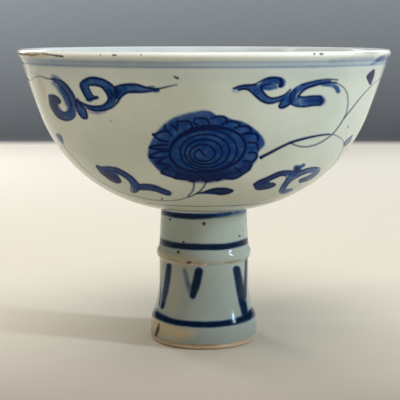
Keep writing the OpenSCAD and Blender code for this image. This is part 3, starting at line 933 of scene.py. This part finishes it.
def paint_bowl(skin):
    """The lotus scroll round the bowl, the rim border and the line over the stem."""
    points, normals = skin_facts(skin, BOWL_COLUMNS)
    paint = blank_paint(points)
    for turn in FLOWER_TURNS:
        canvas = Canvas(paint, points, normals, turn)
        lotus_petals(canvas)
        lotus_centre(canvas)
    for turn in FRONT_AND_BACK:
        canvas = Canvas(paint, points, normals, turn)
        lotus_stalks(canvas)
        left_curls(canvas)
        right_curls(canvas)
        right_vine(canvas)
        low_left_scroll(canvas)
        low_right_scroll(canvas)
        side_leaves(canvas)
        border_ends(canvas)
        bowl_flaws(canvas)
    for turn in SIDE_TURNS:
        side_vine(Canvas(paint, points, normals, turn))
    ring_band(paint, points, "haze", BORDER_MIDDLE, width=2.9, strength=0.9, edge=0.7, wander=0.05)
    # Painted shade: a faint darker band below the rim border
    ring_band(paint, points, "haze", BORDER_PAINTED_SHADE, width=4, strength=0.3, edge=4, wander=0.1)
    ring_band(paint, points, "wash", BORDER_TOP_LINE, width=0.6, strength=0.14, edge=0.5, wander=0.06)
    ring_band(paint, points, "wash", BORDER_LOW_LINE, width=0.7, strength=0.3, edge=0.5, wander=0.06)
    ring_band(paint, points, "line", OVER_STEM_LINE, width=0.36, strength=0.75, edge=0.24, wander=0.05)
    # Pale thin glaze on the lip, with a painted highlight on its round
    ring_band(paint, points, "pale", CUP_HEIGHT, width=3.8, strength=1.0, edge=1.2, wander=0.08)
    ring_band(paint, points, "iron", CUP_HEIGHT, width=0.5, strength=0.3, edge=0.3)
    return paint


def paint_stem(skin):
    """Bands and forked strokes on the stem or on the slip fillet above it."""
    points, normals = skin_facts(skin, STEM_COLUMNS)
    paint = blank_paint(points)
    for turn in FRONT_AND_BACK:
        canvas = Canvas(paint, points, normals, turn)
        stem_bands(canvas)
        stem_forks(canvas)
        stem_flaws(canvas)
        stem_forks_right(Canvas(paint, points, normals, turn + FORK_TURN))
        stem_forks_left(Canvas(paint, points, normals, turn - FORK_TURN))
    ring_band(paint, points, "wash", JOINT_BAND, width=1.4, strength=0.35, edge=0.9, wander=0.1)
    for height in (OVER_RING_BAND, ON_FOOT_BAND):
        ring_band(paint, points, "wash", height, width=1.9, strength=0.85, edge=0.8, wander=0.1)
        ring_band(paint, points, "line", height, width=1.5, strength=0.75, edge=0.9, wander=0.1)
    return paint


# Materials

def colour(red, green, blue):
    """A display colour from 0 to 255 as linear light."""
    channels = np.array([red, green, blue]) / 255
    linear = np.where(channels <= 0.04045, channels / 12.92, ((channels + 0.055) / 1.055) ** 2.4)
    return (*linear.tolist(), 1.0)


class Surface:
    """A material being built: one shader, with helpers for the nodes that feed it."""

    def __init__(self, name):
        self.material = bpy.data.materials.new(name)
        self.material.use_nodes = True
        self.nodes = self.material.node_tree.nodes
        self.links = self.material.node_tree.links
        self.shader = self.nodes["Principled BSDF"]
        self.place = self.nodes.new("ShaderNodeTexCoord").outputs["Object"]

    def join(self, socket, value):
        """Gives a socket a value, or links it to the output of a node."""
        if isinstance(value, bpy.types.NodeSocket):
            self.links.new(value, socket)
        else:
            socket.default_value = value

    def add(self, kind, inputs):
        """A new node; each of its inputs is a value or the output of another node."""
        node = self.nodes.new(kind)
        for name, value in inputs.items():
            self.join(node.inputs[name], value)
        return node

    def noise(self, scale, detail=3.0, roughness=0.55):
        """Cloudy noise over the object, as a value."""
        inputs = {"Scale": scale, "Detail": detail, "Roughness": roughness, "Vector": self.place}
        return self.add("ShaderNodeTexNoise", inputs).outputs["Fac"]

    def span(self, value, low, high, to_low=0.0, to_high=1.0):
        """A value moved from one range to another, and held inside it."""
        inputs = {"Value": value, "From Min": low, "From Max": high, "To Min": to_low, "To Max": to_high}
        return self.add("ShaderNodeMapRange", inputs).outputs["Result"]

    def times(self, first, second):
        """Two values multiplied."""
        node = self.add("ShaderNodeMath", {0: first, 1: second})
        node.operation = "MULTIPLY"
        return node.outputs["Value"]

    def blend(self, share, first, second):
        """Two colours mixed; each is a colour or the output of a node."""
        node = self.nodes.new("ShaderNodeMix")
        node.data_type = "RGBA"
        self.links.new(share, node.inputs["Factor"])
        for name, value in (("A", first), ("B", second)):
            socket = next(slot for slot in node.inputs if slot.name == name and slot.type == "RGBA")
            self.join(socket, value)
        return next(slot for slot in node.outputs if slot.type == "RGBA")

    def layer(self, name):
        """A painted layer of the mesh, as a value."""
        node = self.nodes.new("ShaderNodeAttribute")
        node.attribute_name = name
        return node.outputs["Fac"]

    def axis(self, name):
        """Place along one axis of the object, in metres."""
        return self.add("ShaderNodeSeparateXYZ", {"Vector": self.place}).outputs[name]

    def bump(self, value, strength, depth):
        """Fine relief."""
        node = self.add("ShaderNodeBump", {"Strength": strength, "Distance": depth, "Height": value})
        self.links.new(node.outputs["Normal"], self.shader.inputs["Normal"])

    def finish(self, base, roughness, shine):
        """Joins colour and roughness to the shader."""
        self.links.new(base, self.shader.inputs["Base Color"])
        self.links.new(roughness, self.shader.inputs["Roughness"])
        self.shader.inputs["Specular IOR Level"].default_value = shine
        self.shader.inputs["Specular Tint"].default_value = SHINE_TINT
        return self.material


# Ranges of a noise that are spread over a blend, and of the roughness of each surface
NOISE_MIDDLE = (0.35, 0.65)
NOISE_WIDE = (0.3, 0.7)
GLAZE_ROUGHNESS = (0.07, 0.14)
BISCUIT_ROUGHNESS = (0.7, 0.92)
PORCELAIN_ROUGHNESS = (0.5, 0.7)
FLOOR_ROUGHNESS = (0.85, 0.95)

# Shine of each surface
BOWL_SHINE = 0.13
STEM_SHINE = 0.15
INNER_SHINE = 0.2
BODY_SHINE = 0.3
FLOOR_SHINE = 0.2

# Colours; the glazes darken below a height, given as the height where the darkening starts, the height
# where it is full, and its tint: thick glaze inside the bowl, painted shade on the bowl's underside over
# the stem, and thick glaze with painted contact shade low on the stem
BOWL_TINTS = (colour(224, 229, 216), colour(212, 219, 204))
# Painted shade: the bowl's underside darkened towards the stem
BOWL_PAINTED_SHADE = (0.076, 0.057, colour(194, 200, 184))
INNER_TINTS = (colour(206, 210, 209), colour(196, 202, 201))
INNER_POOL = (0.09, 0.062, colour(188, 195, 190))
# Painted shade: the stem's glaze painted darker than the bowl's, for the shade under the bowl
STEM_SHADED_TINTS = (colour(184, 192, 181), colour(171, 180, 168))
# Thick glaze with painted contact shade: the stem darkened towards the foot
STEM_POOL_AND_SHADE = (0.044, 0.0, colour(146, 153, 145))
SHINE_TINT = (0.65, 0.8, 1.0, 1.0)
# Pale glaze of thin edges, partly a painted highlight and painted light
PALE_GLAZE_AND_HIGHLIGHT = colour(248, 248, 240)
BOWL_COBALT = (colour(72, 106, 154), colour(14, 62, 128), colour(0, 22, 74))
# Painted shade: the stem's cobalt painted darker and greyer than the bowl's
STEM_SHADED_COBALT = (colour(74, 98, 126), colour(22, 52, 90), colour(2, 23, 48))
# Cobalt haze of the rim border, also the tint of the painted shade band below it
COBALT_HAZE_AND_SHADE = colour(172, 190, 202)
OCHRE = colour(196, 176, 138)
IRON = colour(40, 28, 16)
BISCUIT = colour(204, 184, 156)
BISCUIT_BURNT = colour(184, 150, 114)
PORCELAIN = colour(226, 222, 212)

# How dense the pigment is where each cobalt tint starts and is full, and how far brushing thins the wash
THIN_WASH = (0.0, 0.5)
FULL_WASH = (0.4, 0.85)
DARK_LINE = (0.0, 0.8)
BRUSHED = (0.7, 1.0)

# The bare foot: height up to which its burnt flush grows, in metres, its patches and its burnt grain
FLUSH_TOP = 0.0022
FLUSH_PATCHES = (0.3, 0.6)
BURNT_GRAIN = (0.55, 0.75, 0.0, 0.4)


def glaze_surface(name, tints, pool_and_shade, shine, cobalt=None):
    """Old greyish glaze in two tints, over the cobalt where it is painted. It is darker low down, for thick
    glaze and, outside the bowl, also for painted shade; the pale and haze layers carry a painted highlight
    and painted shade.
    """
    surface = Surface(name)
    cloud = surface.span(surface.noise(scale=45, detail=4), *NOISE_MIDDLE)
    base = surface.blend(cloud, *tints)
    # Darker below a height: thick glaze, and outside the bowl also painted shade
    pool_and_shade_top, pool_and_shade_full, pool_and_shade_tint = pool_and_shade
    base = surface.blend(surface.span(surface.axis("Z"), pool_and_shade_top, pool_and_shade_full), base, pool_and_shade_tint)
    fine = surface.noise(scale=420)
    if cobalt:
        thin, full, dark = cobalt
        brushed = surface.span(surface.noise(scale=300), *NOISE_MIDDLE, *BRUSHED)
        wash = surface.times(surface.layer("wash"), brushed)
        base = surface.blend(surface.layer("pale"), base, PALE_GLAZE_AND_HIGHLIGHT)
        base = surface.blend(surface.layer("ochre"), base, OCHRE)
        base = surface.blend(surface.layer("haze"), base, COBALT_HAZE_AND_SHADE)
        base = surface.blend(surface.span(wash, *THIN_WASH), base, thin)
        base = surface.blend(surface.span(wash, *FULL_WASH), base, full)
        base = surface.blend(surface.span(surface.layer("line"), *DARK_LINE), base, dark)
        base = surface.blend(surface.layer("iron"), base, IRON)
    surface.bump(surface.noise(scale=260, detail=2), strength=0.12, depth=0.0004)
    return surface.finish(base, surface.span(fine, *NOISE_WIDE, *GLAZE_ROUGHNESS), shine)


def biscuit_surface(name):
    """Bare fired clay: rough, with a warm burnt flush near the glaze."""
    surface = Surface(name)
    grain = surface.noise(scale=900, detail=4)
    height = surface.span(surface.axis("Z"), 0.0, FLUSH_TOP)
    flush = surface.times(height, surface.span(surface.noise(scale=90), *FLUSH_PATCHES))
    base = surface.blend(flush, BISCUIT, BISCUIT_BURNT)
    base = surface.blend(surface.span(grain, *BURNT_GRAIN), base, BISCUIT_BURNT)
    surface.bump(grain, strength=0.35, depth=0.0003)
    return surface.finish(base, surface.span(grain, *NOISE_WIDE, *BISCUIT_ROUGHNESS), BODY_SHINE)


def porcelain_surface(name):
    """The white body under the glaze."""
    surface = Surface(name)
    grain = surface.noise(scale=700)
    base = surface.blend(surface.span(grain, *NOISE_MIDDLE), PORCELAIN, BISCUIT)
    return surface.finish(base, surface.span(grain, *NOISE_WIDE, *PORCELAIN_ROUGHNESS), BODY_SHINE)


def dress_node(name, material):
    """Gives a node of the frame that stays a better material."""
    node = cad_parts[name]
    node.data.materials.clear()
    node.data.materials.append(material)


# Studio

FLOOR_DEPTH = 0.815
FLOOR_FRONT = -1.6
STAGE_HALF_WIDTH = 2.2
WALL_TOP = 2.0
COVE_RADIUS = 0.012
FLOOR_GAP = 0.00005
FLOOR_COLOUR = colour(217, 209, 193)
FLOOR_FAR = colour(228, 223, 214)
# Painted shadow: a darker strip of floor under and in front of the cup
FLOOR_PAINTED_SHADOW = colour(160, 149, 138)
FLOOR_SHADE = colour(206, 198, 188)
WALL_LOW = colour(86, 90, 97)
WALL_HIGH = colour(140, 148, 157)
WALL_HIGH_AT = 0.16
WALL_STARTS_AT = 0.0005

# Depths over which one floor colour goes to the next: before the painted shadow strip at the cup, behind
# it, far off
NEAR_SPAN = (-0.12, -0.2)
FRONT_SPAN = (-0.09, 0.03)
FAR_SPAN = (0.15, 0.65)
FLOOR_CLOUD = (0.0, 0.12)

WORLD_TINT = (1.0, 0.98, 0.94, 1.0)
WORLD_STRENGTH = 0.22
CLIP_START = 0.01


def stage_surface():
    """A pale floor that turns into a grey wall, with a painted shadow strip across the floor under the cup
    and in front of it.
    """
    surface = Surface("stage")
    cloud = surface.span(surface.noise(scale=3), *NOISE_WIDE, *FLOOR_CLOUD)
    height = surface.axis("Z")
    wall = surface.blend(surface.span(height, 0.0, WALL_HIGH_AT), WALL_LOW, WALL_HIGH)
    depth = surface.axis("Y")
    # Painted shadow strip, from in front of the cup to just behind it
    base = surface.blend(surface.span(depth, *FRONT_SPAN), FLOOR_PAINTED_SHADOW, FLOOR_COLOUR)
    base = surface.blend(surface.span(depth, *NEAR_SPAN), base, FLOOR_COLOUR)
    base = surface.blend(surface.span(depth, *FAR_SPAN), base, FLOOR_FAR)
    base = surface.blend(cloud, base, FLOOR_SHADE)
    base = surface.blend(surface.span(height, WALL_STARTS_AT, COVE_RADIUS / 2), base, wall)
    roughness = surface.span(surface.noise(scale=300), *NOISE_WIDE, *FLOOR_ROUGHNESS)
    return surface.finish(base, roughness, FLOOR_SHINE)


def build_stage():
    """Floor, cove and wall in one sheet."""
    cove_centre = (FLOOR_DEPTH - COVE_RADIUS, COVE_RADIUS)
    section = [np.array([FLOOR_FRONT, 0.0])]
    section += arc(cove_centre, COVE_RADIUS, -90, 0, COVE_RADIUS / 8)
    section.append(np.array([FLOOR_DEPTH, WALL_TOP]))
    points = [(side * STAGE_HALF_WIDTH, y, z) for side in (-1, 1) for y, z in section]
    count = len(section)
    faces = [(row, count + row, count + row + 1, row + 1) for row in range(count - 1)]
    mesh = bpy.data.meshes.new("stage")
    mesh.from_pydata(points, [], faces)
    mesh.shade_smooth()
    mesh.materials.append(stage_surface())
    sheet = add_object("stage", mesh)
    sheet.location.z = -FLOOR_GAP


def add_lamp(name, place, size, power, tint, spread=180):
    """A soft lamp aimed at the middle of the cup, its beam a spread in degrees."""
    lamp = bpy.data.lights.new(name, "AREA")
    lamp.shape = "RECTANGLE"
    lamp.size, lamp.size_y = size
    lamp.energy = power
    lamp.color = tint
    lamp.spread = math.radians(spread)
    holder = add_object(name, lamp)
    holder.location = place
    aim = Vector((0, 0, CUP_HEIGHT * MM / 2)) - holder.location
    holder.rotation_euler = aim.to_track_quat("-Z", "Y").to_euler()


def build_light():
    """Soft light from above, a window on the right, a smaller one on the left and two low edge lights."""
    add_lamp("sky", place=(-0.05, -0.4, 1.55), size=(1.3, 1.3), power=19.3, tint=(1.0, 0.99, 0.97))
    add_lamp("window_right", place=(1.1, -0.36, 0.5), size=(0.11, 0.4), power=1.3,
             tint=(0.76, 0.9, 1.0), spread=70)
    add_lamp("window_left", place=(-1.0, -0.24, 1.14), size=(0.15, 0.15), power=2.3, tint=(1.0, 0.9, 0.75))
    add_lamp("edge_right", place=(0.5, 0.75, 0.38), size=(0.3, 0.4), power=1.6, tint=(0.9, 0.95, 1.0))
    add_lamp("edge_left", place=(-0.5, 0.75, 0.38), size=(0.3, 0.4), power=3.3, tint=(1.0, 0.96, 0.9))
    world = bpy.data.worlds.new("studio")
    world.use_nodes = True
    backdrop = world.node_tree.nodes["Background"]
    backdrop.inputs["Color"].default_value = WORLD_TINT
    backdrop.inputs["Strength"].default_value = WORLD_STRENGTH
    bpy.context.scene.world = world


def build_camera():
    """The photograph's camera."""
    lens = bpy.data.cameras.new("camera")
    lens.sensor_width = SENSOR_WIDTH
    lens.lens = SENSOR_WIDTH * FOCAL_PIXELS / PHOTO_PIXELS
    lens.clip_start = CLIP_START
    holder = add_object("camera", lens)
    holder.location = Vector(CAMERA_PLACE * MM)
    holder.rotation_euler = (math.radians(90 - CAMERA_PITCH), 0, 0)
    bpy.context.scene.camera = holder
    bpy.context.scene.view_settings.view_transform = "Standard"


def build_cup():
    """Painted coats over the frame's body, and materials for the nodes that stay."""
    skin = bowl_skin()
    glaze = glaze_surface("bowl_glaze", BOWL_TINTS, BOWL_PAINTED_SHADE, BOWL_SHINE, BOWL_COBALT)
    piece = coat("bowl_outer_coat", skin, BOWL_COLUMNS, "bowl_outer_glaze", glaze)
    store(piece, paint_bowl(skin))
    skin = fillet_skin()
    paint = paint_stem(skin)
    # Painted light over the fillet's shaded crease: pale at its upper edge, fading to the glaze below
    paint["pale"] += np.repeat(np.linspace(1, 0, len(skin)), STEM_COLUMNS)
    store(coat("luting_fillet", skin, STEM_COLUMNS, "luting_slip", glaze), paint)
    glaze = glaze_surface("stem_glaze", STEM_SHADED_TINTS, STEM_POOL_AND_SHADE, STEM_SHINE, STEM_SHADED_COBALT)
    skin = stem_skin()
    store(coat("stem_coat", skin, STEM_COLUMNS, "stem_glaze", glaze), paint_stem(skin))
    dress_node("bowl_inner_glaze", glaze_surface("inner_glaze", INNER_TINTS, INNER_POOL, INNER_SHINE))
    dress_node("bowl", porcelain_surface("porcelain_body"))
    dress_node("stem", biscuit_surface("porcelain_biscuit"))


build_cup()
build_stage()
build_light()
build_camera()
